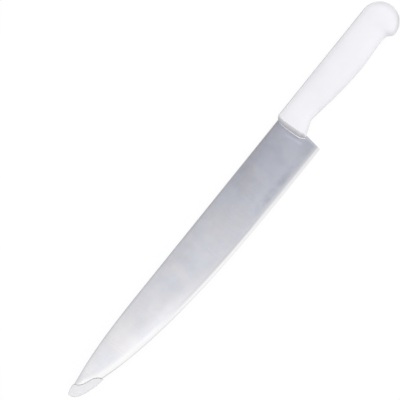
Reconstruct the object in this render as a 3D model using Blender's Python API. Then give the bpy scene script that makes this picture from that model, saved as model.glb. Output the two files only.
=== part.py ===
"""Kitchen knife: a stamped, ground blade, a white handle moulded round its tang, and a clear tip guard.

Metres, +Z up. The knife lies on its side: +X points to the butt, +Y to the spine, and the blade's middle
plane is level. Every shape is drawn from one point, the junction, where the handle's back starts on the
spine line. The finished knife is then set down with the middle of its footprint on the origin and its
lowest point at Z = 0.
"""

from math import copysign, cos, pi, radians, sin

import bmesh
import bpy
from mathutils import Vector
from mathutils.geometry import interpolate_bezier

# Blade, side view
BLADE_LENGTH = 0.254
BLADE_DEPTH = 0.0378
HEEL_SET_BACK = 0.0015
HEEL_LEAN = 0.0041
TIP_DROP = 0.0063
SPINE_FALL_LENGTH = 0.093
SPINE_FALL_POWER = 3.0
BELLY_POWER = 3.0
BELLY_FULLNESS = 0.635

# Blade, cross-section
SPINE_THICKNESS = 0.0018
TIP_THICKNESS = 0.0011
SHOULDER_THICKNESS = 0.0008
HONED_THICKNESS = 0.0003
EDGE_THICKNESS = 0.0001
SPINE_ROLL_REACH = 0.0022
SPINE_ROLL_INSET = 0.00035
HEEL_BEVEL = 0.0030
BELLY_BEVEL = 0.0048
HONED_WIDTH = 0.0005
SHOULDER_BLEND_SHARE = 0.8
BEVEL_BLEND_SHARE = 0.36
BEVEL_WIDENS_FROM = 0.35
BEVEL_WIDENS_TO = 0.75
ROLL_ROWS = 4
GRIND_ROWS = 4
GRIND_FULLNESS = 1.6
POINT_THICKNESS_SHARE = 0.5
POINT_ROLL_SHARE = 0.2
POINT_BEVEL_SHARE = 0.4
POINT_BLEND_SHARE = 0.5
POINT_SHOULDER_SHARE = 0.7

# Tang, hidden in the handle
TANG_ROOT = 0.0015
TANG_BACK_COVER = 0.0046
TANG_BELLY_COVER = 0.0034
TANG_END_COVER = 0.020
TANG_END_ROUNDING = 0.36
TANG_HOLE_RADIUS = 0.0028
TANG_HOLE_MARGIN = 0.014
TANG_HOLES = 3
PUNCH_REACH = 0.003

# Handle, side view
HANDLE_LENGTH = 0.117
BACK_RISE = 0.0018
BUTT_RADIUS = 0.0146
SHOULDER_SET_BACK = 0.0016
SHOULDER_LEAN = 0.0020
FRONT_DEPTH = 0.0233
NECK_FROM_FRONT = 0.0155
NECK_DEPTH = 0.0192
NECK_SLOPE = 0.116
BELLY_DEPTH = 0.0242
BELLY_PLACE = 0.68
NOTCH_FROM_BUTT = 0.0245
NOTCH_DEPTH = 0.0229

# How far the belly line keeps its direction past each end of a stretch, as shares of the stretch
NECK_PULLS = (0.40, 0.24)
PALM_PULLS = (0.17, 0.38)
NOTCH_PULLS = (0.40, 0.28)
HOOK_PULLS = (0.80, 0.44)

# Handle, thickness and front ramp
FRONT_THICKNESS = 0.0150
NECK_THICKNESS = 0.0150
PALM_THICKNESS = 0.0185
NOTCH_THICKNESS = 0.0172
BUTT_THICKNESS = 0.0182
HANDLE_ROUNDNESS = 2.7
BUTT_ROUNDNESS = 3.0
RAMP_LIP = 0.0007
RAMP_FLANGE = 0.0009
RAMP_GROOVE = 0.0003
LIP_ROUNDING = 0.0002
RAMP_BOW = 0.0033
SHOULDER_BOW = 0.0016
RAMP_FOOT_SET_BACK = 0.0010
RAMP_FOOT_DROP = 0.0020
RAMP_ROUNDNESS = 1.12
BOW_POWER = 4

# Tip guard
GUARD_REACH = 0.022
GUARD_SPINE_REACH = 0.005
GUARD_THICKNESS = 0.0044
GUARD_SPINE_MARGIN = 0.0008
GUARD_SPINE_SPREAD = 0.0006
GUARD_MOUTH_MARGIN = 0.0008
GUARD_NOSE_MARGIN = 0.0033
GUARD_NOSE_BULGE = 0.0010
GUARD_CORNER_SHARE = 0.45
GUARD_MOUTH_SWEEP = 0.0016
GUARD_ROUNDNESS = 4.0
GUARD_NOSE_PULLS = (0.45, 0.62)

# Fit and fineness
CLEARANCE = 0.0003
QUARTER_POINTS = 12
BLADE_STATIONS = 40
ARC_POINTS = 10
RAMP_RINGS = 8
NECK_RINGS = 8
PALM_RINGS = 9
NOTCH_RINGS = 5
HOOK_RINGS = 9
BUTT_RINGS = 12
GUARD_RINGS = 14
SLOPE_STEP = 0.0001
SHARP_ANGLE = radians(28)
WELD = 0.000001

# Materials
STEEL_COLOUR = (0.72, 0.73, 0.76)
STEEL_ROUGHNESS = 0.32
WHITE_COLOUR = (0.88, 0.88, 0.90)
WHITE_ROUGHNESS = 0.42
CLEAR_COLOUR = (0.92, 0.93, 0.94)
CLEAR_ROUGHNESS = 0.12
CLEAR_TRANSMISSION = 0.9

TIP_X = HEEL_SET_BACK - BLADE_LENGTH
TIP = Vector((TIP_X, -TIP_DROP, 0.0))
TANG_BACK = BACK_RISE - TANG_BACK_COVER
TANG_BELLY = TANG_BELLY_COVER - NECK_DEPTH
TANG_END = HANDLE_LENGTH - TANG_END_COVER
RING_POINTS = 4 * QUARTER_POINTS


def smooth(share):
    """Eases a share from 0 to 1, level at both ends."""
    share = min(max(share, 0.0), 1.0)
    return share * share * (3.0 - 2.0 * share)


def mix(start, end, share):
    return start + (end - start) * share


def rounded(value, power):
    """A sine or cosine bent to a squarer or rounder section: a power of 2 leaves a circle."""
    return copysign(abs(value) ** (2.0 / power), value)


def quarter_fall(share, power):
    """Height of a rounded corner that falls from 1 at a share of 0 to 0 at a share of 1."""
    return (1.0 - share**power) ** (1.0 / power)


# Blade outline and section


def along(x):
    """Share of the way from the heel to the tip."""
    return min(max((HEEL_SET_BACK - x) / BLADE_LENGTH, 0.0), 1.0)


def spine_y(x):
    fall = max(0.0, 1.0 - (x - TIP_X) / SPINE_FALL_LENGTH)
    return -TIP_DROP * fall**SPINE_FALL_POWER


def edge_y(x):
    fullness = (1.0 - along(x) ** BELLY_POWER) ** BELLY_FULLNESS
    return -mix(TIP_DROP, BLADE_DEPTH, fullness)


def blade_section(x, clearance):
    """One side of the section as (height, half-thickness) points, from the spine's face down to the edge."""
    top = spine_y(x)
    bottom = edge_y(x)
    depth = top - bottom
    stock = mix(SPINE_THICKNESS, TIP_THICKNESS, along(x))
    spine_half = min(stock, POINT_THICKNESS_SHARE * depth) / 2
    shoulder_half = min(SHOULDER_THICKNESS / 2, POINT_SHOULDER_SHARE * spine_half)
    honed_half = shoulder_half * HONED_THICKNESS / SHOULDER_THICKNESS
    edge_half = shoulder_half * EDGE_THICKNESS / SHOULDER_THICKNESS
    widening = (along(x) - BEVEL_WIDENS_FROM) / (BEVEL_WIDENS_TO - BEVEL_WIDENS_FROM)
    bevel = min(mix(HEEL_BEVEL, BELLY_BEVEL, smooth(widening)), POINT_BEVEL_SHARE * depth)
    shoulder = bottom + bevel
    honed = bottom + bevel * HONED_WIDTH / HEEL_BEVEL
    side = spine_roll(top, spine_half, depth)
    side += grind(side[-1][0], spine_half, shoulder, shoulder_half, SHOULDER_BLEND_SHARE * bevel)
    blend = BEVEL_BLEND_SHARE * bevel
    side.append((shoulder - blend, mix(shoulder_half, honed_half, blend / (shoulder - honed))))
    side.append((honed, honed_half))
    side.append((bottom, edge_half))
    return [(y + clearance * mix(1.0, -1.0, (top - y) / depth), half + clearance) for y, half in side]


def spine_roll(top, spine_half, depth):
    """The soft corner that stamping leaves along the spine."""
    reach = min(SPINE_ROLL_REACH, POINT_ROLL_SHARE * depth)
    inset = SPINE_ROLL_INSET * spine_half / (SPINE_THICKNESS / 2)
    corner = []
    for row in range(ROLL_ROWS + 1):
        angle = pi / 2 * row / ROLL_ROWS
        corner.append((top - reach * (1.0 - cos(angle)), spine_half - inset * (1.0 - sin(angle))))
    return corner


def grind(top, top_half, shoulder, shoulder_half, blend):
    """The tapered side below the spine's corner. Its last row is the blend into the bevel."""
    length = top - shoulder
    even = 1.0 - min(blend / length, POINT_BLEND_SHARE)
    shares = [even * row / GRIND_ROWS for row in range(1, GRIND_ROWS + 1)] + [1.0]
    return [(top - length * share, mix(top_half, shoulder_half, share**GRIND_FULLNESS)) for share in shares]


def heel_x(y):
    """The heel leans back from the edge up to the spine."""
    return HEEL_SET_BACK + HEEL_LEAN * (1.0 + y / BLADE_DEPTH)


def blade_ring(x, clearance, at_heel=False):
    side = blade_section(x, clearance)
    outline = side + [(y, -z) for y, z in reversed(side)]
    if at_heel:
        return [Vector((heel_x(y) + clearance, y, z)) for y, z in outline]
    return [Vector((x, y, z)) for y, z in outline]


def blade_rings(clearance):
    """Rings from the heel to just short of the tip, closer together where the belly turns up."""
    rings = [blade_ring(0.0, clearance, at_heel=True)]
    for station in range(BLADE_STATIONS):
        share = sin(pi / 2 * station / BLADE_STATIONS)
        rings.append(blade_ring(share * TIP_X, clearance))
    return rings


# Building blocks


def link(name, mesh, collection):
    part = bpy.data.objects.new(name, mesh)
    collection.objects.link(part)
    return part


def join_rings(bm, rows):
    for near, far in zip(rows, rows[1:]):
        for i in range(len(near)):
            bm.faces.new((near[i - 1], near[i], far[i], far[i - 1]))


def close_to_point(bm, row, point):
    tip = bm.verts.new(point)
    for i in range(len(row)):
        bm.faces.new((row[i - 1], row[i], tip))


def close_across(bm, row):
    """Closes a ring that is the same on both sides, with strips from side to side."""
    count = len(row)
    half = count // 2
    bm.faces.new((row[0], row[1], row[-1]))
    for i in range(1, half - 1):
        bm.faces.new((row[i], row[i + 1], row[count - i - 1], row[count - i]))
    bm.faces.new((row[half - 1], row[half], row[half + 1]))


def loft(name, rings, end_point, collection, flat_start=False):
    """A closed skin through the rings, closed at its start by a face or strips and at its end by a point."""
    bm = bmesh.new()
    rows = [[bm.verts.new(point) for point in ring] for ring in rings]
    join_rings(bm, rows)
    if flat_start:
        bm.faces.new(rows[0])
    else:
        close_across(bm, rows[0])
    close_to_point(bm, rows[-1], end_point)
    bmesh.ops.recalc_face_normals(bm, faces=bm.faces)
    mesh = bpy.data.meshes.new(name)
    bm.to_mesh(mesh)
    bm.free()
    return link(name, mesh, collection)


def plate(name, outline, half_thickness, collection):
    """A flat plate with this outline, the same thickness above and below the middle plane."""
    curve = bpy.data.curves.new(name, "CURVE")
    curve.dimensions = "2D"
    curve.fill_mode = "BOTH"
    curve.extrude = half_thickness
    spline = curve.splines.new("POLY")
    spline.points.add(len(outline) - 1)
    spline.use_cyclic_u = True
    for point, (x, y) in zip(spline.points, outline):
        point.co = (x, y, 0.0, 1.0)
    guide = link(name, curve, collection)
    graph = bpy.context.evaluated_depsgraph_get()
    mesh = bpy.data.meshes.new_from_object(guide.evaluated_get(graph))
    bpy.data.objects.remove(guide)
    bm = bmesh.new()
    bm.from_mesh(mesh)
    bmesh.ops.remove_doubles(bm, verts=bm.verts, dist=WELD)
    bmesh.ops.recalc_face_normals(bm, faces=bm.faces)
    bm.to_mesh(mesh)
    bm.free()
    return link(name, mesh, collection)


def arc(centre, radius, start, end):
    """Points on a round stretch of an outline, its angles in degrees."""
    points = []
    for step in range(ARC_POINTS + 1):
        angle = radians(mix(start, end, step / ARC_POINTS))
        points.append((centre[0] + radius * cos(angle), centre[1] + radius * sin(angle)))
    return points


def combine(part, operation, others):
    """Joins the others to the part or cuts them from it, and keeps the result as its mesh."""
    for other in others:
        step = part.modifiers.new(other.name, "BOOLEAN")
        step.operation = operation
        step.solver = "EXACT"
        step.object = other
    graph = bpy.context.evaluated_depsgraph_get()
    mesh = bpy.data.meshes.new_from_object(part.evaluated_get(graph))
    part.modifiers.clear()
    part.data = mesh


def section_ring(back, belly, half_thickness, roundness, bow=0.0, sweep=0.0):
    """A rounded section from a point on the back to one on the belly.

    The bow moves its middle towards +X, and the sweep its back half towards +X and its belly half away.
    """
    middle = (back + belly) / 2
    half = (back - belly) / 2
    ahead = Vector((half.y, -half.x, 0.0)).normalized()
    ring = []
    for i in range(RING_POINTS):
        angle = 2 * pi * i / RING_POINTS
        across = rounded(cos(angle), roundness)
        out = rounded(sin(angle), roundness)
        bend = bow * (1.0 - across**BOW_POWER) + sweep * sin(pi * across)
        ring.append(middle + half * across + ahead * bend + Vector((0.0, 0.0, half_thickness * out)))
    return ring


# Blade with its tang


def tang_outline(clearance):
    """Rim of the tang, or of the slot that it leaves in the handle."""
    corner = TANG_END_ROUNDING * (TANG_BACK - TANG_BELLY) + clearance
    top = TANG_BACK + clearance
    bottom = TANG_BELLY - clearance
    end = TANG_END + clearance
    rim = [(TANG_ROOT - clearance, top), (TANG_ROOT - clearance, bottom)]
    rim += arc((end - corner, bottom + corner), corner, -90, 0)
    rim += arc((end - corner, top - corner), corner, 0, 90)
    return rim


def tang_hole_pins(name, clearance, collection):
    """Pins the size of the tang's holes, or of the plastic that fills them."""
    first = heel_x(0.0) + TANG_HOLE_MARGIN
    last = TANG_END - TANG_HOLE_MARGIN
    pins = []
    for hole in range(TANG_HOLES):
        x = mix(first, last, hole / max(1, TANG_HOLES - 1))
        bpy.ops.mesh.primitive_cylinder_add(
            vertices=2 * QUARTER_POINTS,
            radius=TANG_HOLE_RADIUS - clearance,
            depth=SPINE_THICKNESS + 2 * PUNCH_REACH,
            location=(x, (TANG_BACK + TANG_BELLY) / 2, 0.0),
        )
        pin = bpy.context.active_object
        pin.name = f"{name}_{hole + 1}"
        for home in list(pin.users_collection):
            home.objects.unlink(pin)
        collection.objects.link(pin)
        pins.append(pin)
    return pins


def make_blade(parts, cutters):
    blade = loft("blade", blade_rings(0.0), TIP, parts, flat_start=True)
    tang = plate("tang_blank", tang_outline(0.0), SPINE_THICKNESS / 2, cutters)
    combine(blade, "UNION", [tang])
    combine(blade, "DIFFERENCE", tang_hole_pins("tang_hole", 0.0, cutters))
    return blade


def make_blade_slot(cutters):
    end = TIP - Vector((CLEARANCE, 0.0, 0.0))
    return loft("blade_slot", blade_rings(CLEARANCE), end, cutters, flat_start=True)


def make_tang_slot(cutters):
    """The space that the tang takes in the handle, without the plastic that fills the tang's holes."""
    slot = plate("tang_slot", tang_outline(CLEARANCE), SPINE_THICKNESS / 2 + CLEARANCE, cutters)
    combine(slot, "DIFFERENCE", tang_hole_pins("tang_pillar", CLEARANCE, cutters))
    return slot


# Handle


def ramp_rings():
    """The front ramp: a thin flange on the blade's sides, a groove, and the climb to the shoulder."""
    foot_back = Vector((0.0, CLEARANCE + RAMP_LIP, 0.0))
    foot_belly = Vector((RAMP_FOOT_SET_BACK, -FRONT_DEPTH - RAMP_FOOT_DROP, 0.0))
    shoulder_back, shoulder_belly = shoulder_points()
    foot_half = SPINE_THICKNESS / 2 + CLEARANCE + RAMP_LIP
    climb_height = FRONT_THICKNESS / 2 - foot_half
    length = RAMP_BOW - SHOULDER_BOW + (shoulder_back - foot_back + shoulder_belly - foot_belly).x / 2
    groove_place = (RAMP_FLANGE + RAMP_GROOVE) / length
    stages = [(0.0, -LIP_ROUNDING), (LIP_ROUNDING / length, 0.0), (RAMP_FLANGE / length, 0.0)]
    for step in range(RAMP_RINGS):
        climb = 0.5 - 0.5 * cos(pi * step / RAMP_RINGS)
        rise = quarter_fall(1.0 - climb, RAMP_ROUNDNESS)
        stages.append((mix(groove_place, 1.0, climb), mix(-RAMP_GROOVE, climb_height, rise)))
    rings = []
    for share, lift in stages:
        back = foot_back.lerp(shoulder_back, share)
        belly = foot_belly.lerp(shoulder_belly, share)
        bow = -mix(RAMP_BOW, SHOULDER_BOW, share)
        rings.append(section_ring(back, belly, foot_half + lift, HANDLE_ROUNDNESS, bow=bow))
    return rings


def shoulder_points():
    back = Vector((SHOULDER_SET_BACK, BACK_RISE, 0.0))
    belly = Vector((SHOULDER_SET_BACK + SHOULDER_LEAN, -FRONT_DEPTH, 0.0))
    return back, belly


def grip_spans():
    """Stretches of the grip: start and end on the belly, their slopes and pulls, thickness and rings."""
    front = shoulder_points()[1]
    neck = Vector((NECK_FROM_FRONT, -NECK_DEPTH, 0.0))
    notch = Vector((HANDLE_LENGTH - NOTCH_FROM_BUTT, -NOTCH_DEPTH, 0.0))
    palm = Vector((mix(neck.x, notch.x, BELLY_PLACE), -BELLY_DEPTH, 0.0))
    hook = Vector((HANDLE_LENGTH - BUTT_RADIUS, BACK_RISE - 2 * BUTT_RADIUS, 0.0))
    slope = Vector((1.0, -NECK_SLOPE, 0.0))
    level = Vector((1.0, 0.0, 0.0))
    rise = (neck - front) / (neck.x - front.x)
    return (
        (front, rise, neck, slope, NECK_PULLS, NECK_THICKNESS, NECK_RINGS),
        (neck, slope, palm, level, PALM_PULLS, PALM_THICKNESS, PALM_RINGS),
        (palm, level, notch, level, NOTCH_PULLS, NOTCH_THICKNESS, NOTCH_RINGS),
        (notch, level, hook, level, HOOK_PULLS, BUTT_THICKNESS, HOOK_RINGS),
    )


def front_bow(x):
    """How far the middle of a grip section lies ahead of its ends, less and less up to the neck."""
    start = SHOULDER_SET_BACK + SHOULDER_LEAN
    return SHOULDER_BOW * (smooth((x - start) / (NECK_FROM_FRONT - start)) - 1.0)


def grip_rings():
    back_start = shoulder_points()[0]
    thickness = FRONT_THICKNESS
    rings = []
    for start, start_slope, end, end_slope, pulls, end_thickness, steps in grip_spans():
        back_end = Vector((end.x, BACK_RISE, 0.0))
        run = end.x - start.x
        leave = start + start_slope * run * pulls[0]
        arrive = end - end_slope * run * pulls[1]
        belly_line = interpolate_bezier(start, leave, arrive, end, steps + 1)
        for step in range(steps):
            share = step / steps
            back = back_start.lerp(back_end, share)
            belly = belly_line[step]
            half_thickness = mix(thickness, end_thickness, smooth(share)) / 2
            rings.append(section_ring(back, belly, half_thickness, HANDLE_ROUNDNESS, bow=front_bow(belly.x)))
        back_start = back_end
        thickness = end_thickness
    return rings


def butt_rings():
    """The round butt: a disc in side view, with its thickness rounded off towards the end."""
    centre = Vector((HANDLE_LENGTH - BUTT_RADIUS, BACK_RISE - BUTT_RADIUS, 0.0))
    rings = []
    for step in range(BUTT_RINGS):
        angle = pi / 2 * step / BUTT_RINGS
        reach = BUTT_RADIUS * sin(angle)
        rise = BUTT_RADIUS * cos(angle)
        half_thickness = BUTT_THICKNESS / 2 * quarter_fall(sin(angle), BUTT_ROUNDNESS)
        back = centre + Vector((reach, rise, 0.0))
        belly = centre + Vector((reach, -rise, 0.0))
        rings.append(section_ring(back, belly, half_thickness, HANDLE_ROUNDNESS))
    return rings


def make_handle(slots, parts):
    rings = ramp_rings() + grip_rings() + butt_rings()
    end = Vector((HANDLE_LENGTH, BACK_RISE - BUTT_RADIUS, 0.0))
    handle = loft("handle", rings, end, parts)
    combine(handle, "DIFFERENCE", slots)
    return handle


# Tip guard


def guard_edge_line():
    """Belly side of the guard: the blade's edge moved outwards, by more towards the nose."""
    line = []
    for step in range(GUARD_RINGS + 1):
        share = step / GUARD_RINGS
        x = TIP_X + GUARD_REACH * (1.0 - share) ** 2
        run = Vector((SLOPE_STEP, edge_y(x + SLOPE_STEP) - edge_y(x), 0.0)).normalized()
        outward = Vector((run.y, -run.x, 0.0))
        corner = max(0.0, 1.0 - share / GUARD_CORNER_SHARE)
        margin = mix(GUARD_NOSE_MARGIN, GUARD_MOUTH_MARGIN, corner**2)
        margin += GUARD_NOSE_BULGE * sin(pi * share**2) ** 2
        line.append(Vector((x, edge_y(x), 0.0)) + outward * margin)
    return line


def guard_spine_line(nose):
    start_x = TIP_X + GUARD_SPINE_REACH
    start = Vector((start_x, spine_y(start_x) + GUARD_SPINE_MARGIN, 0.0))
    leave_x = mix(start.x, nose.x, GUARD_NOSE_PULLS[0])
    leave_y = start.y + spine_y(leave_x) - spine_y(start.x) + GUARD_SPINE_SPREAD
    leave = Vector((leave_x, leave_y, 0.0))
    arrive = nose + Vector((0.0, (start.y - nose.y) * GUARD_NOSE_PULLS[1], 0.0))
    return interpolate_bezier(start, leave, arrive, nose, GUARD_RINGS + 1)


def make_guard(slot, parts):
    edge_line = guard_edge_line()
    nose = edge_line[-1]
    spine_line = guard_spine_line(nose)
    rings = []
    for step in range(GUARD_RINGS):
        share = step / GUARD_RINGS
        half_thickness = GUARD_THICKNESS / 2 * quarter_fall(share, GUARD_ROUNDNESS)
        sweep = -GUARD_MOUTH_SWEEP * (1.0 - share)
        back = spine_line[step]
        belly = edge_line[step]
        rings.append(section_ring(back, belly, half_thickness, GUARD_ROUNDNESS, sweep=sweep))
    guard = loft("tip_guard", rings, nose, parts)
    combine(guard, "DIFFERENCE", [slot])
    return guard


# Finish, materials and place


def shade(part):
    part.data.shade_smooth()
    part.data.set_sharp_from_angle(angle=SHARP_ANGLE)


def coat(part, colour, roughness, metallic=0.0, transmission=0.0):
    material = bpy.data.materials.new(part.name)
    material.use_nodes = True
    shader = material.node_tree.nodes["Principled BSDF"]
    shader.inputs["Base Color"].default_value = (*colour, 1.0)
    shader.inputs["Roughness"].default_value = roughness
    shader.inputs["Metallic"].default_value = metallic
    shader.inputs["Transmission Weight"].default_value = transmission
    material.diffuse_color = (*colour, 1.0)
    part.data.materials.clear()
    part.data.materials.append(material)


def move_origin(part, origin):
    """Moves the part's own origin without moving its shape."""
    for vertex in part.data.vertices:
        vertex.co -= origin
    part.location = origin


def corners(parts):
    points = [part.matrix_world @ vertex.co for part in parts for vertex in part.data.vertices]
    low = Vector([min(point[axis] for point in points) for axis in range(3)])
    high = Vector([max(point[axis] for point in points) for axis in range(3)])
    return low, high


def set_down(parts, cutters, collection):
    """Hangs everything on one empty, which brings the middle of the knife's footprint to the origin."""
    bpy.context.view_layer.update()
    low, high = corners(parts)
    junction = link("junction", None, collection)
    junction.empty_display_size = BLADE_DEPTH
    junction.location = (-(low.x + high.x) / 2, -(low.y + high.y) / 2, -low.z)
    for piece in parts + cutters:
        piece.parent = junction
    bpy.context.view_layer.update()


def new_collection(name):
    collection = bpy.data.collections.new(name)
    bpy.context.scene.collection.children.link(collection)
    return collection


def clear_scene():
    for old in list(bpy.data.objects):
        bpy.data.objects.remove(old)


def main():
    clear_scene()
    parts = new_collection("meat_knife")
    cutters = new_collection("cutters")
    blade = make_blade(parts, cutters)
    blade_slot = make_blade_slot(cutters)
    tang_slot = make_tang_slot(cutters)
    handle = make_handle([blade_slot, tang_slot], parts)
    guard = make_guard(blade_slot, parts)
    coat(blade, STEEL_COLOUR, STEEL_ROUGHNESS, metallic=1.0)
    coat(handle, WHITE_COLOUR, WHITE_ROUGHNESS)
    coat(guard, CLEAR_COLOUR, CLEAR_ROUGHNESS, transmission=CLEAR_TRANSMISSION)
    for part in (blade, handle, guard):
        shade(part)
    move_origin(guard, TIP)
    set_down([blade, handle, guard], list(cutters.objects), parts)
    for cutter in cutters.objects:
        cutter.hide_render = True
        cutter.display_type = "WIRE"


main()
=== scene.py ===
"""Studio picture of the kitchen knife: materials, floor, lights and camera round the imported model.

Metres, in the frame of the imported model: the knife lies on its side with +X to the butt, +Y to the spine
and +Z up, its middle at the origin and its lowest point on the floor.
"""

from math import cos, radians, sin

import bmesh
import bpy
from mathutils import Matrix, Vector
from mathutils.bvhtree import BVHTree


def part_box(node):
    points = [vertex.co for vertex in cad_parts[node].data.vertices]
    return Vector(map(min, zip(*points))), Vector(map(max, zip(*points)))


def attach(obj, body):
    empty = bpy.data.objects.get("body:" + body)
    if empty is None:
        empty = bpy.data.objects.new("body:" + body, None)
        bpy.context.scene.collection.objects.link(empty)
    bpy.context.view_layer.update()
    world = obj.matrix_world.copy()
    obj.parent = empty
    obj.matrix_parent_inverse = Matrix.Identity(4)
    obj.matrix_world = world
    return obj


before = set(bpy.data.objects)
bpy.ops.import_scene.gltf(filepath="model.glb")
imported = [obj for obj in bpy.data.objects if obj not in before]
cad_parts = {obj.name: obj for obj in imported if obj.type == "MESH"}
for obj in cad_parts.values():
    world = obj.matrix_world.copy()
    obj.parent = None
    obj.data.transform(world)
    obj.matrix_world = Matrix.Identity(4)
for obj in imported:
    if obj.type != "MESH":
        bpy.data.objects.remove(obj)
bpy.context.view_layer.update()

# Camera: metres in a pixel, lens and sensor in millimetres, and how far the butt is turned in the picture
PIXEL = 0.0007375
PICTURE_SIZE = 400
LENS = 135.0
SENSOR = 36.0
VIEW_CENTRE = Vector((-0.01381, 0.02572, 0.00925))
BUTT_ANGLE = radians(51.16)

# In what follows, two numbers in brackets are the ends of a soft change: where it begins and where it is
# whole, or what it leads from and to. A place ALONG is on X, to the butt, and a place ACROSS is on Y, to the
# spine.

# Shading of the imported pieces
WELD = 0.000002
SHARP_ANGLE = radians(28)

# Noises, with the number of their waves in a metre, and the middle part of their values
STEEL_CLOUDS = {"scale": 58.0, "detail": 5.0, "roughness": 0.6}
STEEL_TINT = {"scale": 62.0, "stretch": (0.8, 1.0, 1.0), "detail": 1.0}
STEEL_LINES = {"scale": 1500.0, "stretch": (1.0, 0.02, 0.02), "detail": 3.0}
STEEL_SCRATCHES = {"scale": 2600.0, "stretch": (0.012, 1.0, 1.0), "detail": 1.0}
STEEL_PATCHES = {"scale": 190.0, "detail": 3.0}
WHITE_CLOUDS = {"scale": 40.0, "detail": 2.0}
WHITE_GRAIN = {"scale": 2400.0, "detail": 3.0}
CLEAR_CLOUDS = {"scale": 180.0, "detail": 2.0}
CLEAR_FLOW = {"scale": 420.0, "stretch": (0.3, 1.0, 1.0), "detail": 2.0}
MIDDLE_VALUES = (0.3, 0.7)

# Painted shade in tight corners: how far it looks round, how open a corner is, and how dark it gets
CORNER_SHADE_REACH = 0.0012
CORNER_SHADE_SAMPLES = 8
CORNER_SHADE_OPENNESS = (0.35, 0.95)
STEEL_CORNER_SHADE_ACROSS = (-0.002, 0.014)
STEEL_CORNER_SHADE = (0.66, 0.95)
GUARD_ALONG = (-0.12, -0.15)
GUARD_CORNER_SHADE = 0.97
WHITE_CORNER_SHADE_ACROSS = (0.0, 0.008)
WHITE_CORNER_SHADE = (0.66, 0.90)

# Curve of the cutting edge
EDGE_HEEL = 0.07087
EDGE_LENGTH = 0.254
EDGE_TIP_SIDE = 0.0117
EDGE_BELLY = 0.0315
EDGE_POWERS = (3.0, 0.635)

# The blade's ground sides
SATIN = (0.75, 0.745, 0.765, 1.0)
SATIN_BLUE = (0.715, 0.728, 0.77, 1.0)
TINT_VALUES = (0.35, 0.65)
LESS_BLUE_ALONG = (0.040, 0.062)
LESS_BLUE = 0.3
CLOUD_SHADE = (0.955, 1.04)
LINE_SHADE = (-0.012, 0.012)
SCRATCH_VALUES = (0.66, 0.76)
SCRATCH_SHADE = -0.05
STEEL_ROUGHNESS = (0.20, 0.25)
STEEL_BUMP = {"Strength": 0.05, "Distance": 0.00001}

# Painted light in a zone beside the belly's bevel, which turns into painted shade at the tip
GLOW = 0.10
GLOW_FROM_EDGE = (0.0145, 0.0065)
GLOW_ALONG = (-0.045, -0.10)
GLOW_TURNS_ALONG = (-0.122, -0.172)
GLOW_AT_TIP = -0.8

# Painted shade in a patchy band beside the bevel near the heel: its sides and its ends
BAND = -0.13
BAND_EDGE_SIDE = (0.0035, 0.0062)
BAND_SPINE_SIDE = (0.0120, 0.0072)
BAND_TIP_END = (-0.004, 0.024)
BAND_HEEL_END = (0.028, 0.060)
BAND_AT_HEEL = 0.35
PATCH_VALUES = (0.36, 0.64)
PATCH_SHARE = (0.45, 1.5)

# Painted light on the steel: a faint streak in front of the ramp, a lighter patch beside it, and a light line
# on the heel's border
STREAK = 0.145
STREAK_MIDDLE = (0.0642, 0.0)
STREAK_SLOPE = 0.14
STREAK_HALF_WIDTH = 0.0019
STREAK_REACH = (0.0088, 0.0046)
RAMP_SIDE_LIGHT = 0.07
RAMP_SIDE_LIGHT_ALONG = (0.0555, 0.0635)
RAMP_SIDE_LIGHT_ACROSS = (-0.010, -0.004)
HEEL_BORDER = 0.16
HEEL_BORDER_ALONG = (0.0690, 0.0708)

# The blade's spine, stamped and not ground, whose dark grey also paints the shade on its rounded corners
STAMPED = (0.52, 0.51, 0.52, 1.0)
STAMPED_LEAN = (radians(9.0), radians(30.0))
STAMPED_ROUGHER = 0.16

# Specks on the steel: how many cells a metre has, a speck's radius, the chance of a cell to have none, and
# the strength and colour of the speck
SPECKS = (
    (70.0, 0.0009, 0.93, 0.35, (0.90, 0.90, 0.91, 1.0)),
    (45.0, 0.0011, 0.95, 0.12, STAMPED),
)
SPECK_CORE = 0.3

# The blade's bevel: polished, with colours that paint its reflection, lighter beside the edge, darker at its
# shoulder and changing along the blade
BEVEL_LEAN = (radians(1.6), radians(3.2))
BEVEL_SMOOTHER = 0.07
BEVEL_FROM_EDGE = (0.0040, 0.0018)
BEVEL_NARROWER = 0.0005
BEVEL_NARROWER_ALONG = (0.01, -0.01)
POLISHED = (0.945, 0.945, 0.955, 1.0)
POLISHED_HEEL = (0.82, 0.82, 0.83, 1.0)
POLISHED_TIP = (0.86, 0.86, 0.875, 1.0)
POLISHED_END = (0.76, 0.76, 0.775, 1.0)
SHOULDER = (0.635, 0.635, 0.65, 1.0)
SHOULDER_HEEL = (0.78, 0.78, 0.795, 1.0)
SHOULDER_TIP = (0.72, 0.72, 0.735, 1.0)
HEEL_ALONG = (-0.055, 0.07)
SHOULDER_TIP_ALONG = (-0.034, -0.07)
TIP_ALONG = (-0.068, -0.115)
END_ALONG = (-0.11, -0.16)

# The honed edge, whose darker grey paints the thin dark line along the edge, darkest by the tip
HONED = (0.72, 0.72, 0.735, 1.0)
HONED_END = (0.58, 0.58, 0.59, 1.0)
HONED_LEAN = (radians(6.2), radians(7.0))
HONED_ALONG = (0.12, -0.16)
HONED_END_ALONG = (-0.140, -0.155)

# White plastic
WHITE = (0.885, 0.885, 0.91, 1.0)
WHITE_WORN = (0.865, 0.865, 0.885, 1.0)
# Grey of the painted shade on the handle's steep sides
WHITE_SIDE_SHADE = (0.70, 0.70, 0.72, 1.0)
WHITE_ROUGHNESS = (0.38, 0.48)
WHITE_SPECULAR = 0.35
WHITE_BUMP = {"Strength": 0.12, "Distance": 0.00003}
# Painted shade on the handle's steep sides, for its darker outline, weaker on sides that face the tip: how
# far a side leans, which way it faces along the knife, and the share of shade
SIDE_LEAN = (radians(64), radians(86))
SIDE_FACING = (-0.7, -0.1)
SIDE_SHARE = (0.2, 1.0)

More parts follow.
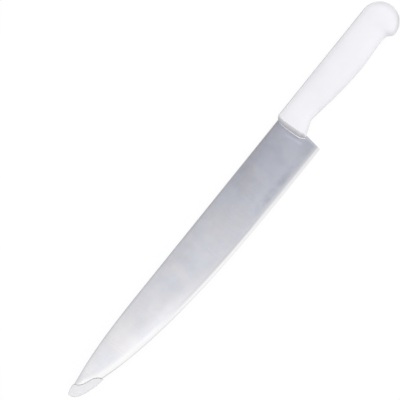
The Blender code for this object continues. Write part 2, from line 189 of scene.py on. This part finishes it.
# The handle's butt: painted shade on its end, weaker in the middle than at both corners, and painted shade
# round the hook
WHITE_BUTT_SHADE = (0.73, 0.73, 0.755, 1.0)
BUTT_FACING = (0.05, 0.68)
BUTT_MIDDLE = 0.0055
BUTT_REACH = (0.002, 0.009)
BUTT_SHARE = (0.72, 1.0)
HOOK = 0.20
HOOK_ALONG = (0.168, 0.176)
HOOK_ACROSS = (0.0015, -0.0045)
HOOK_LEAN = (radians(24), radians(66))

# The handle's ramp: painted shade, deeper towards its foot and at the edge's end
RAMP_FACING = (-0.25, -0.6)
RAMP_ALONG = (0.0755, 0.0735)
RAMP_HEIGHT = (0.0031, 0.0064)
RAMP_LOW = 0.80
RAMP_ACROSS = (-0.001, -0.0055)
RAMP_AT_EDGE = 0.88

# The ramp's rim on the steel: painted shade, grey at the spine's end and a little darker at the edge's end
MIDDLE_HEIGHT = 0.00925
WHITE_RIM_SHADE = (0.68, 0.68, 0.70, 1.0)
RIM_HEIGHT = (0.00255, 0.00155)
RIM_ALONG = (0.0735, 0.0715)
RIM_SPINE_END = (-0.001, 0.009)
RIM_EDGE_END = (0.0, -0.0055)
RIM_SHADE = 0.13

# Seam that the mould's halves leave round the handle: half of its section as how far out and how wide, the
# points that its ends taper over, and how much it stands out in plain places, at the spine and under the hook
SEAM_CLEAR = 0.0016
SEAM_SUNK = 0.00012
SEAM_PROUD = 0.00016
SEAM_HALF_WIDTH = 0.00022
SEAM_SECTION = ((-SEAM_SUNK, 1.0), (0.4 * SEAM_PROUD, 0.9), (SEAM_PROUD, 0.35))
SEAM_TAPER = 4
SEAM_TAPER_START = 0.5
SEAM_PLAIN = 0.7
SEAM_AT_SPINE = 0.3
SEAM_UNDER_HOOK = 0.6
SEAM_HOOK_ALONG = (0.171, 0.176)
# Grey of the seam, which paints the shade of the handle's outline, and how much of it shows in the grain
SEAM_OUTLINE_SHADE = (0.42, 0.42, 0.44, 1.0)
SEAM_SHADE_SHARE = (0.6, 1.0)

# Clear plastic
MILKY = (0.96, 0.96, 0.965, 1.0)
MILKY_CLEARER = (0.93, 0.93, 0.94, 1.0)
# Grey of the painted shade on the guard's steep sides
MILKY_SIDE_SHADE = (0.50, 0.50, 0.52, 1.0)
CLEAR_ROUGHNESS = (0.26, 0.36)
CLEAR_IOR = 1.45
CLEAR_TRANSMISSION = 0.12
CLEAR_BUMP = {"Strength": 0.08, "Distance": 0.00005}
# Painted shade on the guard's steep sides, for its darker outline, left off where the mouth faces the butt:
# how far a side leans, and which way it faces along the knife
STEEP_LEAN = (radians(40), radians(80))
MOUTH_FACING = (0.1, 0.6)

# Room
FLOOR_SIZE = 12.0
FLOOR_HEIGHT = -0.0001
FLOOR_SHOWN = (0.10, 0.10, 0.10, 1.0)
FLOOR_BOUNCE = (0.78, 0.78, 0.78, 1.0)
FLOOR_LIFT = 0.91
SKY_ENDS = (0.480, 0.480, 0.500, 1.0)
SKY_MIDDLE = (1.545, 1.542, 1.572, 1.0)
SKY_BAND = (0.5, 0.0)
SHOWN_WHITE = (1.0, 1.0, 1.0, 1.0)
WALL_MIRRORED = (0.12, 0.12, 0.13, 1.0)
WALL_TO_CEILING = (0.10, 0.42)

# Soft panel that the blade mirrors, and its rows from the edge's side to the spine's side: how far each row
# is from the knife's middle, and its light at the tip's end and at the butt's end
SCRIM_TIP_END = -0.36
SCRIM_BUTT_END = 0.20
SCRIM_PLAIN_FROM = 0.14
SCRIM_HEIGHT = 0.30
SCRIM_ROWS = (
    (-0.08, (1.28, 1.285, 1.265, 1.0), (0.69, 0.635, 0.615, 1.0)),
    (-0.05, (1.70, 1.66, 1.59, 1.0), (0.50, 0.535, 0.635, 1.0)),
    (0.03, (1.355, 1.325, 1.28, 1.0), (0.27, 0.285, 0.36, 1.0)),
    (0.26, (0.675, 0.765, 0.89, 1.0), (0.455, 0.385, 0.27, 1.0)),
)
# Soft spots on the panel, where the room behind it shows through: place, reach along and across, and how
# much lighter or darker each is
SCRIM_SPOTS = (
    ((0.025, 0.012), (0.040, 0.028), -0.26),
    ((-0.022, 0.006), (0.030, 0.034), 0.07),
    ((-0.070, 0.005), (0.026, 0.024), -0.13),
)

# Lamps: name, azimuth from the butt towards the spine's side, elevation, watts and colour
LAMP_SIZE = 0.7
LAMP_DISTANCE = 1.3
LAMPS = (
    ("key_lamp", 0.0, radians(45), 3.9, (1.0, 0.98, 0.95)),
    ("fill_lamp", radians(-90), radians(20), 1.6, (1.0, 0.98, 1.0)),
)


# Node helpers


class Graph:
    """A short way to add nodes to a tree and join them."""

    def __init__(self, tree):
        self.tree = tree
        self.tree.nodes.clear()

    def add(self, kind, settings=None, **inputs):
        node = self.tree.nodes.new(kind)
        for name, value in (settings or {}).items():
            setattr(node, name, value)
        for name, value in inputs.items():
            self.feed(node, name.replace("_", " "), value)
        return node

    def feed(self, node, name, value):
        socket = node.inputs[int(name)] if name.isdigit() else node.inputs[name]
        if isinstance(value, bpy.types.NodeSocket):
            self.tree.links.new(value, socket)
        else:
            socket.default_value = value

    def split(self, vector):
        return self.add("ShaderNodeSeparateXYZ", Vector=vector).outputs

    def math(self, operation, first, second=0.0, clamp=False):
        node = self.add("ShaderNodeMath", {"operation": operation, "use_clamp": clamp})
        self.feed(node, "0", first)
        self.feed(node, "1", second)
        return node.outputs[0]

    def product(self, first, *others):
        for other in others:
            first = self.math("MULTIPLY", first, other)
        return first

    def total(self, first, *others):
        for other in others:
            first = self.math("ADD", first, other)
        return first

    def gap(self, first, second):
        return self.math("ABSOLUTE", self.math("SUBTRACT", first, second))

    def blend(self, share, first, second):
        node = self.add("ShaderNodeMix", {"data_type": "RGBA"})
        self.feed(node, "0", share)
        self.feed(node, "6", first)
        self.feed(node, "7", second)
        return node.outputs[2]

    def tone(self, colour, share):
        """The colour, made darker or lighter by a share."""
        node = self.add("ShaderNodeVectorMath", {"operation": "SCALE"})
        self.feed(node, "0", colour)
        self.feed(node, "Scale", share)
        return node.outputs[0]

    def darker(self, colour, loss):
        """The colour without a share of its light."""
        return self.tone(colour, self.math("SUBTRACT", 1.0, loss))

    def spread(self, value, ends, results=(0.0, 1.0)):
        """A soft change from the first result to the second, as the value goes from one end to the other."""
        node = self.add("ShaderNodeMapRange", {"interpolation_type": "SMOOTHSTEP"})
        for name, given in zip("01234", (value, *ends, *results)):
            self.feed(node, name, given)
        return node.outputs[0]

    def share(self, value, ends):
        """How far the value has come from one end to the other, from 0 to 1."""
        node = self.add("ShaderNodeMapRange")
        for name, given in zip("012", (value, *ends)):
            self.feed(node, name, given)
        return node.outputs[0]

    def noise(self, place, scale, stretch=(1.0, 1.0, 1.0), detail=4.0, roughness=0.55):
        mapped = self.add("ShaderNodeMapping", Vector=place, Scale=stretch).outputs[0]
        inputs = {"Vector": mapped, "Scale": scale, "Detail": detail, "Roughness": roughness}
        return self.add("ShaderNodeTexNoise", **inputs).outputs[0]


def new_material(name):
    material = bpy.data.materials.new(name)
    material.use_nodes = True
    graph = Graph(material.node_tree)
    output = graph.add("ShaderNodeOutputMaterial")
    place = graph.add("ShaderNodeTexCoord").outputs["Object"]
    return material, graph, output, place


def soft_normal(graph):
    return graph.add("ShaderNodeTexCoord").outputs["Normal"]


def show(graph, output, shader, bump):
    """Give the shader its fine relief and make it the surface."""
    graph.feed(shader, "Normal", bump.outputs[0])
    graph.feed(output, "Surface", shader.outputs[0])


# Steel


def lean(graph, normal):
    """How far a face leans from flat: above zero towards the cutting edge, and below zero to the spine."""
    x, y, z = graph.split(normal)
    squares = graph.total(graph.product(x, x), graph.product(y, y))
    angle = graph.math("ARCTAN2", graph.math("SQRT", squares), graph.math("ABSOLUTE", z))
    return graph.product(angle, graph.math("SIGN", y), -1.0)


def from_edge(graph, along, across):
    """How far a point of the blade is from its cutting edge, measured across the blade."""
    share = graph.share(along, (EDGE_HEEL, EDGE_HEEL - EDGE_LENGTH))
    fullness = graph.math("SUBTRACT", 1.0, graph.math("POWER", share, EDGE_POWERS[0]), clamp=True)
    fullness = graph.math("POWER", fullness, EDGE_POWERS[1])
    edge = graph.math("SUBTRACT", EDGE_TIP_SIDE, graph.product(fullness, EDGE_BELLY))
    return graph.math("SUBTRACT", across, edge)


def corner_shade(graph, darkest):
    """Painted shade in tight corners: 1 in the open, less in a corner."""
    node = graph.add("ShaderNodeAmbientOcclusion", {"samples": CORNER_SHADE_SAMPLES}, Distance=CORNER_SHADE_REACH)
    return graph.spread(node.outputs["AO"], CORNER_SHADE_OPENNESS, (darkest, 1.0))


def specks(graph, place, scale, radius, kept):
    """A few small round marks: 1 on a mark. Only cells with a random value over the kept one have a mark."""
    node = graph.add("ShaderNodeTexVoronoi", Vector=place, Scale=scale)
    there = graph.math("GREATER_THAN", graph.split(node.outputs["Color"])[0], kept)
    rim = radius * scale
    return graph.product(there, graph.spread(node.outputs["Distance"], (rim, SPECK_CORE * rim)))


def glow(graph, along, inward):
    """Painted light beside the belly's bevel, and painted shade at the tip."""
    return graph.product(
        graph.spread(inward, GLOW_FROM_EDGE, (0.0, GLOW)),
        graph.spread(along, GLOW_ALONG),
        graph.spread(along, GLOW_TURNS_ALONG, (1.0, GLOW_AT_TIP)),
    )


def shade_band(graph, place, along, inward):
    """Painted shade in patches beside the bevel near the heel."""
    return graph.product(
        graph.spread(inward, BAND_EDGE_SIDE, (0.0, BAND)),
        graph.spread(inward, BAND_SPINE_SIDE),
        graph.spread(along, BAND_TIP_END),
        graph.spread(along, BAND_HEEL_END, (1.0, BAND_AT_HEEL)),
        graph.spread(graph.noise(place, **STEEL_PATCHES), PATCH_VALUES, PATCH_SHARE),
    )


def near_ramp(graph, along, across):
    """Painted light: a little more on a narrow line in front of the ramp, beside it, and on the heel's
    border.
    """
    slant = graph.product(graph.math("SUBTRACT", across, STREAK_MIDDLE[1]), STREAK_SLOPE)
    line = graph.math("SUBTRACT", STREAK_MIDDLE[0], slant)
    streak = graph.spread(graph.gap(along, line), (STREAK_HALF_WIDTH, 0.0), (0.0, STREAK))
    streak = graph.product(streak, graph.spread(graph.gap(across, STREAK_MIDDLE[1]), STREAK_REACH))
    side_light = graph.spread(along, RAMP_SIDE_LIGHT_ALONG, (0.0, RAMP_SIDE_LIGHT))
    side_light = graph.product(side_light, graph.spread(across, RAMP_SIDE_LIGHT_ACROSS))
    border = graph.spread(along, HEEL_BORDER_ALONG, (0.0, HEEL_BORDER))
    return graph.total(streak, side_light, border)


def ground_colour(graph, place, along, across, inward, clouds, lines):
    """Colour of the blade's ground sides, with all that makes them lighter or darker in places."""
    blue = graph.spread(graph.noise(place, **STEEL_TINT), TINT_VALUES)
    blue = graph.product(blue, graph.spread(along, LESS_BLUE_ALONG, (1.0, LESS_BLUE)))
    shade = graph.total(
        graph.spread(clouds, MIDDLE_VALUES, CLOUD_SHADE),
        graph.spread(lines, MIDDLE_VALUES, LINE_SHADE),
        graph.spread(graph.noise(place, **STEEL_SCRATCHES), SCRATCH_VALUES, (0.0, SCRATCH_SHADE)),
        # Painted light by the ramp and the heel
        near_ramp(graph, along, across),
        # Painted shade in patches beside the bevel
        shade_band(graph, place, along, inward),
        # Painted light beside the belly's bevel
        glow(graph, along, inward),
    )
    colour = graph.tone(graph.blend(blue, SATIN, SATIN_BLUE), shade)
    for scale, radius, kept, strength, speck in SPECKS:
        mark = graph.product(specks(graph, place, scale, radius, kept), strength)
        colour = graph.blend(mark, colour, speck)
    return colour


def bevel_colour(graph, along, inward):
    """Colour of the bevel, which paints its reflection: lighter beside the edge, darker at its shoulder, with
    changes along it.
    """
    near_heel = graph.share(along, HEEL_ALONG)
    shoulder = graph.blend(graph.share(along, SHOULDER_TIP_ALONG), SHOULDER, SHOULDER_TIP)
    shoulder = graph.blend(near_heel, shoulder, SHOULDER_HEEL)
    polished = graph.blend(near_heel, POLISHED, POLISHED_HEEL)
    narrowed = graph.total(inward, graph.spread(along, BEVEL_NARROWER_ALONG, (0.0, BEVEL_NARROWER)))
    colour = graph.blend(graph.spread(narrowed, BEVEL_FROM_EDGE), shoulder, polished)
    tip = graph.blend(graph.share(along, END_ALONG), POLISHED_TIP, POLISHED_END)
    return graph.blend(graph.spread(along, TIP_ALONG), colour, tip)


def steel_material():
    """Ground steel with a polished bevel, a honed edge and a stamped spine, whose colours also paint
    reflection and shade: a light bevel, a dark line on the edge and a darker spine.
    """
    material, graph, output, place = new_material("ground_steel")
    along, across, _ = graph.split(place)
    inward = from_edge(graph, along, across)
    soft_lean = lean(graph, soft_normal(graph))
    face_lean = lean(graph, graph.add("ShaderNodeNewGeometry").outputs["True Normal"])
    bevel = graph.spread(soft_lean, BEVEL_LEAN)
    stamped = graph.spread(graph.product(soft_lean, -1.0), STAMPED_LEAN)
    honed = graph.product(graph.spread(face_lean, HONED_LEAN), graph.share(along, HONED_ALONG))
    clouds = graph.noise(place, **STEEL_CLOUDS)
    lines = graph.noise(place, **STEEL_LINES)
    colour = ground_colour(graph, place, along, across, inward, clouds, lines)
    # Painted reflection on the polished bevel
    colour = graph.blend(bevel, colour, bevel_colour(graph, along, inward))
    # Painted shade on the honed edge, a thin dark line
    colour = graph.blend(honed, colour, graph.blend(graph.share(along, HONED_END_ALONG), HONED, HONED_END))
    # Stamped spine, its dark grey also painted shade
    colour = graph.blend(stamped, colour, STAMPED)
    # Painted shade in corners, deeper by the ramp than by the guard
    by_ramp = graph.spread(across, STEEL_CORNER_SHADE_ACROSS, STEEL_CORNER_SHADE)
    colour = graph.tone(colour, corner_shade(graph, graph.spread(along, GUARD_ALONG, (by_ramp, GUARD_CORNER_SHADE))))
    roughness = graph.spread(clouds, MIDDLE_VALUES, STEEL_ROUGHNESS)
    smoother = graph.product(bevel, -BEVEL_SMOOTHER)
    rougher = graph.product(stamped, STAMPED_ROUGHER)
    roughness = graph.total(roughness, smoother, rougher)
    bump = graph.add("ShaderNodeBump", Height=lines, **STEEL_BUMP)
    shader = graph.add("ShaderNodeBsdfPrincipled", Base_Color=colour, Roughness=roughness, Metallic=1.0)
    show(graph, output, shader, bump)
    return material


# Plastics


def butt_shade(graph, colour, along, across, facing, slope):
    """The colour, with painted shade on the handle's butt and round its hook."""
    by_corner = graph.spread(graph.gap(across, BUTT_MIDDLE), BUTT_REACH, BUTT_SHARE)
    colour = graph.blend(graph.product(graph.spread(facing, BUTT_FACING), by_corner), colour, WHITE_BUTT_SHADE)
    hook = graph.product(
        graph.spread(slope, HOOK_LEAN, (0.0, HOOK)),
        graph.spread(along, HOOK_ALONG),
        graph.spread(across, HOOK_ACROSS),
    )
    return graph.darker(colour, hook)


def ramp_and_rim_shade(graph, colour, along, across, height, facing):
    """The colour, with painted shade on the handle's ramp and on the ramp's rim."""
    ramp = graph.product(graph.spread(facing, RAMP_FACING), graph.spread(along, RAMP_ALONG))
    low = graph.spread(height, RAMP_HEIGHT, (RAMP_LOW, 1.0))
    kept = graph.product(low, graph.spread(across, RAMP_ACROSS, (1.0, RAMP_AT_EDGE)))
    # Painted shade on the ramp
    colour = graph.darker(colour, graph.product(graph.math("SUBTRACT", 1.0, kept), ramp))
    # Painted shade on the rim: darker at the edge's end, grey at the spine's end
    rim = graph.product(graph.spread(height, RIM_HEIGHT), graph.spread(along, RIM_ALONG))
    colour = graph.darker(colour, graph.product(rim, graph.spread(across, RIM_EDGE_END, (0.0, RIM_SHADE))))
    return graph.blend(graph.product(rim, graph.spread(across, RIM_SPINE_END)), colour, WHITE_RIM_SHADE)


def white_plastic_material(name, seam):
    """Moulded white plastic with a soft sheen and a very fine grain; on the seam, a grey that paints the
    shade of the handle's outline.
    """
    material, graph, output, place = new_material(name)
    along, across, up = graph.split(place)
    grain = graph.noise(place, **WHITE_GRAIN)
    clouds = graph.noise(place, **WHITE_CLOUDS)
    normal = soft_normal(graph)
    facing = graph.split(normal)[0]
    slope = graph.math("ABSOLUTE", lean(graph, normal))
    colour = graph.blend(graph.spread(clouds, MIDDLE_VALUES), WHITE_WORN, WHITE)
    # Painted shade on the butt and round the hook
    colour = butt_shade(graph, colour, along, across, facing, slope)
    # Painted shade on the steep sides, which darkens the handle's outline
    side = graph.product(graph.spread(slope, SIDE_LEAN), graph.spread(facing, SIDE_FACING, SIDE_SHARE))
    colour = graph.blend(side, colour, WHITE_SIDE_SHADE)
    # Painted shade on the ramp and its rim
    colour = ramp_and_rim_shade(graph, colour, along, across, graph.gap(up, MIDDLE_HEIGHT), facing)
    # Painted shade in corners
    colour = graph.tone(colour, corner_shade(graph, graph.spread(across, WHITE_CORNER_SHADE_ACROSS, WHITE_CORNER_SHADE)))
    if seam:
        # Painted shade: the seam is grey, which darkens the handle's outline
        colour = graph.blend(graph.spread(grain, MIDDLE_VALUES, SEAM_SHADE_SHARE), colour, SEAM_OUTLINE_SHADE)
    roughness = graph.spread(clouds, MIDDLE_VALUES, WHITE_ROUGHNESS)
    bump = graph.add("ShaderNodeBump", Height=grain, **WHITE_BUMP)
    shader = graph.add("ShaderNodeBsdfPrincipled", Base_Color=colour, Roughness=roughness)
    shader.inputs["Specular IOR Level"].default_value = WHITE_SPECULAR
    show(graph, output, shader, bump)
    return material


def clear_plastic_material():
    """Soft, milky plastic that lets a little light through, with painted shade on its steep sides except at
    its mouth.
    """
    material, graph, output, place = new_material("clear_plastic")
    clouds = graph.noise(place, **CLEAR_CLOUDS)
    colour = graph.blend(graph.spread(clouds, MIDDLE_VALUES), MILKY_CLEARER, MILKY)
    normal = soft_normal(graph)
    # Painted shade on the steep sides, for the guard's darker outline
    steep = graph.spread(graph.math("ABSOLUTE", lean(graph, normal)), STEEP_LEAN)
    steep = graph.product(steep, graph.spread(graph.split(normal)[0], MOUTH_FACING, (1.0, 0.0)))
    colour = graph.blend(steep, colour, MILKY_SIDE_SHADE)
    roughness = graph.spread(clouds, MIDDLE_VALUES, CLEAR_ROUGHNESS)
    bump = graph.add("ShaderNodeBump", Height=graph.noise(place, **CLEAR_FLOW), **CLEAR_BUMP)
    shader = graph.add("ShaderNodeBsdfPrincipled", Base_Color=colour, Roughness=roughness, IOR=CLEAR_IOR)
    shader.inputs["Transmission Weight"].default_value = CLEAR_TRANSMISSION
    show(graph, output, shader, bump)
    return material


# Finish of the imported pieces


def smoothing():
    """A modifier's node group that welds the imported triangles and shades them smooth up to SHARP_ANGLE."""
    group = bpy.data.node_groups.new("smooth_shading", "GeometryNodeTree")
    group.interface.new_socket("Geometry", in_out="INPUT", socket_type="NodeSocketGeometry")
    group.interface.new_socket("Geometry", in_out="OUTPUT", socket_type="NodeSocketGeometry")
    graph = Graph(group)
    start = graph.add("NodeGroupInput")
    plain = graph.add("GeometryNodeRemoveAttribute", Geometry=start.outputs[0], Name="custom_normal")
    welded = graph.add("GeometryNodeMergeByDistance", Geometry=plain.outputs[0], Distance=WELD)
    rounded = graph.add("GeometryNodeSetShadeSmooth", {"domain": "FACE"}, Shade_Smooth=True)
    graph.feed(rounded, "Geometry", welded.outputs[0])
    angle = graph.add("GeometryNodeInputMeshEdgeAngle").outputs["Unsigned Angle"]
    is_sharp = graph.add("FunctionNodeCompare", {"data_type": "FLOAT", "operation": "GREATER_THAN"})
    graph.feed(is_sharp, "0", angle)
    graph.feed(is_sharp, "1", SHARP_ANGLE)
    creased = graph.add("GeometryNodeSetShadeSmooth", {"domain": "EDGE"}, Shade_Smooth=False)
    graph.feed(creased, "Geometry", rounded.outputs[0])
    graph.feed(creased, "Selection", is_sharp.outputs[0])
    end = graph.add("NodeGroupOutput")
    graph.feed(end, "Geometry", creased.outputs[0])
    return group


def dress(node, material, group):
    node.material_slots[0].material = material
    modifier = node.modifiers.new("smooth_shading", "NODES")
    modifier.node_group = group


# Seam


def outer_path(handle, blade):
    """Points round the outside of the handle at its middle height, from one front corner to the other."""
    steel = bmesh.new()
    steel.from_mesh(blade.data)
    near_steel = BVHTree.FromBMesh(steel)
    steel.free()
    low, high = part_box("blade")
    middle = (low[2] + high[2]) / 2
    plastic = bmesh.new()
    plastic.from_mesh(handle.data)
    bmesh.ops.remove_doubles(plastic, verts=plastic.verts, dist=WELD)
    everything = plastic.verts[:] + plastic.edges[:] + plastic.faces[:]
    plane = {"plane_co": (0, 0, middle), "plane_no": (0, 0, 1)}
    cut = bmesh.ops.bisect_plane(plastic, geom=everything, **plane)["geom_cut"]
    points = [v for v in cut if isinstance(v, bmesh.types.BMVert)]
    far = {v for v in points if near_steel.find_nearest(v.co)[3] > SEAM_CLEAR}
    links = {v: [] for v in far}
    for edge in cut:
        if isinstance(edge, bmesh.types.BMEdge) and all(v in far for v in edge.verts):
            first, second = edge.verts
            links[first].append(second)
            links[second].append(first)
    ends = [v for v in far if len(links[v]) == 1]
    longest = []
    for start in sorted(ends, key=lambda v: (v.co.x, v.co.y)):
        walk = [start]
        while True:
            onward = [v for v in links[walk[-1]] if len(walk) < 2 or v is not walk[-2]]
            if not onward or onward[0] is start:
                break
            walk.append(onward[0])
        if len(walk) > len(longest):
            longest = walk
    path = [v.co.copy() for v in longest]
    plastic.free()
    return path


def seam_height(point, out):
    """How much of its full height the seam has at a point whose side faces out."""
    start, whole = SEAM_HOOK_ALONG
    at_hook = min(1.0, max(0.0, (point.x - start) / (whole - start)))
    return SEAM_PLAIN + SEAM_AT_SPINE * out.y + SEAM_UNDER_HOOK * max(0.0, -out.y) * at_hook


def make_seam(handle, blade, material):
    """A fine raised line round the handle, sunk at its foot and tapered out at both ends."""
    points = outer_path(handle, blade)
    last = len(points) - 1
    centre = sum(points, Vector()) / len(points)
    section = SEAM_SECTION + tuple((reach, -width) for reach, width in SEAM_SECTION[::-1])
    mesh = bmesh.new()
    rings = []
    for i, point in enumerate(points):
        run = (points[min(i + 1, last)] - points[max(i - 1, 0)]).normalized()
        out = run.cross(Vector((0, 0, 1)))
        if i == 0:
            side = 1.0 if out.dot(point - centre) > 0 else -1.0
        out *= side
        size = min(1.0, (min(i, last - i) + SEAM_TAPER_START) / SEAM_TAPER)
        proud = size * seam_height(point, out)
        ring = []
        for reach, width in section:
            offset = out * reach * (proud if reach > 0 else 1.0)
            ring.append(mesh.verts.new(point + offset + Vector((0, 0, width * SEAM_HALF_WIDTH * size))))
        rings.append(ring)
    for before, after in zip(rings, rings[1:]):
        for j in range(len(before)):
            k = (j + 1) % len(before)
            mesh.faces.new((before[j], before[k], after[k], after[j]))
    mesh.faces.new(rings[0])
    mesh.faces.new(rings[-1][::-1])
    bmesh.ops.recalc_face_normals(mesh, faces=mesh.faces)
    for face in mesh.faces:
        face.smooth = True
    data = bpy.data.meshes.new("handle_seam")
    mesh.to_mesh(data)
    mesh.free()
    seam = bpy.data.objects.new("handle_seam", data)
    data.materials.append(material)
    bpy.context.scene.collection.objects.link(seam)
    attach(seam, "knife")


# Stage


def panel(name, width, depth, place):
    """A flat rectangle that belongs to the studio."""
    half_width = width / 2
    half_depth = depth / 2
    corners = [(-half_width, -half_depth, 0), (half_width, -half_depth, 0)]
    corners += [(half_width, half_depth, 0), (-half_width, half_depth, 0)]
    mesh = bpy.data.meshes.new(name)
    mesh.from_pydata(corners, [], [(0, 1, 2, 3)])
    obj = bpy.data.objects.new(name, mesh)
    obj.location = place
    bpy.context.scene.collection.objects.link(obj)
    return obj


def make_floor():
    """A pale floor that shows almost white, with a light shadow, and throws soft light back up."""
    floor = panel("floor", FLOOR_SIZE, FLOOR_SIZE, (0.0, 0.0, FLOOR_HEIGHT))
    material, graph, output, _ = new_material("pale_floor")
    path = graph.add("ShaderNodeLightPath").outputs
    shown = graph.math("ADD", path["Is Camera Ray"], path["Is Glossy Ray"], clamp=True)
    shown = graph.math("ADD", shown, path["Is Transmission Ray"], clamp=True)
    plain = graph.add("ShaderNodeBsdfDiffuse", Color=graph.blend(shown, FLOOR_BOUNCE, FLOOR_SHOWN))
    lift = graph.add("ShaderNodeEmission", Color=SHOWN_WHITE, Strength=graph.product(shown, FLOOR_LIFT))
    both = graph.add("ShaderNodeAddShader")
    graph.feed(both, "0", plain.outputs[0])
    graph.feed(both, "1", lift.outputs[0])
    graph.feed(output, "Surface", both.outputs[0])
    floor.data.materials.append(material)


def make_world():
    """Soft light, strongest over the middle. Mirror images show a white ceiling over darker walls."""
    world = bpy.data.worlds.new("studio")
    bpy.context.scene.world = world
    world.use_nodes = True
    graph = Graph(world.node_tree)
    path = graph.add("ShaderNodeLightPath").outputs
    sideways, _, upward = graph.split(graph.add("ShaderNodeTexCoord").outputs["Generated"])
    sky = graph.blend(graph.share(graph.math("ABSOLUTE", sideways), SKY_BAND), SKY_ENDS, SKY_MIDDLE)
    room = graph.blend(graph.spread(upward, WALL_TO_CEILING), WALL_MIRRORED, SHOWN_WHITE)
    colour = graph.blend(path["Is Glossy Ray"], sky, room)
    clear = graph.math("ADD", path["Is Camera Ray"], path["Is Transmission Ray"], clamp=True)
    background = graph.add("ShaderNodeBackground", Color=graph.blend(clear, colour, SHOWN_WHITE))
    graph.add("ShaderNodeOutputWorld", Surface=background.outputs[0])


def make_scrim():
    """The soft panel that the blade mirrors, brightest beyond the tip on the edge's side.

    It shows in mirror images only, and neither lights nor shades the knife.
    """
    low = SCRIM_ROWS[0][0]
    high = SCRIM_ROWS[-1][0]
    middle = Vector(((SCRIM_TIP_END + SCRIM_BUTT_END) / 2, (low + high) / 2, SCRIM_HEIGHT))
    scrim = panel("scrim", SCRIM_BUTT_END - SCRIM_TIP_END, high - low, middle)
    scrim.visible_camera = False
    scrim.visible_diffuse = False
    scrim.visible_shadow = False
    scrim.visible_transmission = False
    material, graph, output, place = new_material("scrim_light")
    right, up, _ = graph.split(place)
    along = graph.total(right, middle.x)
    across = graph.total(up, middle.y)
    tip, butt = SCRIM_ROWS[0][1:]
    for (before, _, _), (here, next_tip, next_butt) in zip(SCRIM_ROWS, SCRIM_ROWS[1:]):
        reached = graph.share(across, (before, here))
        tip = graph.blend(reached, tip, next_tip)
        butt = graph.blend(reached, butt, next_butt)
    colour = graph.blend(graph.share(along, (SCRIM_TIP_END, SCRIM_PLAIN_FROM)), tip, butt)
    strength = 1.0
    for spot, reach, change in SCRIM_SPOTS:
        squares = [
            graph.math("POWER", graph.math("DIVIDE", graph.math("SUBTRACT", here, centre), half), 2.0)
            for here, centre, half in zip((along, across), spot, reach)
        ]
        inside = graph.spread(graph.total(*squares), (1.0, 0.0), (0.0, change))
        strength = graph.total(strength, inside)
    light = graph.add("ShaderNodeEmission", Color=colour, Strength=strength)
    graph.feed(output, "Surface", light.outputs[0])
    scrim.data.materials.append(material)


def soft_lamp(name, azimuth, elevation, watts, colour):
    """A square lamp aimed at the knife, which neither the camera nor a mirror image shows."""
    data = bpy.data.lights.new(name, "AREA")
    data.size = LAMP_SIZE
    data.energy = watts
    data.color = colour
    lamp = bpy.data.objects.new(name, data)
    flat = LAMP_DISTANCE * cos(elevation)
    lamp.location = (flat * cos(azimuth), flat * sin(azimuth), LAMP_DISTANCE * sin(elevation))
    lamp.rotation_euler = (-lamp.location).to_track_quat("-Z", "Y").to_euler()
    lamp.visible_camera = False
    lamp.visible_glossy = False
    bpy.context.scene.collection.objects.link(lamp)


def make_camera():
    """A long lens straight above the knife, turned as in the photograph."""
    data = bpy.data.cameras.new("camera")
    data.lens = LENS
    data.sensor_width = SENSOR
    camera = bpy.data.objects.new("camera", data)
    half_picture = PIXEL * PICTURE_SIZE / 2
    distance = half_picture * LENS / (SENSOR / 2)
    camera.location = VIEW_CENTRE + Vector((0.0, 0.0, distance))
    camera.rotation_euler = (0.0, 0.0, -BUTT_ANGLE)
    bpy.context.scene.collection.objects.link(camera)
    bpy.context.scene.camera = camera


def main():
    bpy.context.scene.view_settings.view_transform = "Standard"
    group = smoothing()
    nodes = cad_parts
    dress(nodes["blade"], steel_material(), group)
    dress(nodes["handle"], white_plastic_material("white_plastic", False), group)
    dress(nodes["tip_guard"], clear_plastic_material(), group)
    make_seam(nodes["handle"], nodes["blade"], white_plastic_material("white_seam", True))
    make_floor()
    make_world()
    make_scrim()
    for lamp in LAMPS:
        soft_lamp(*lamp)
    make_camera()


main()
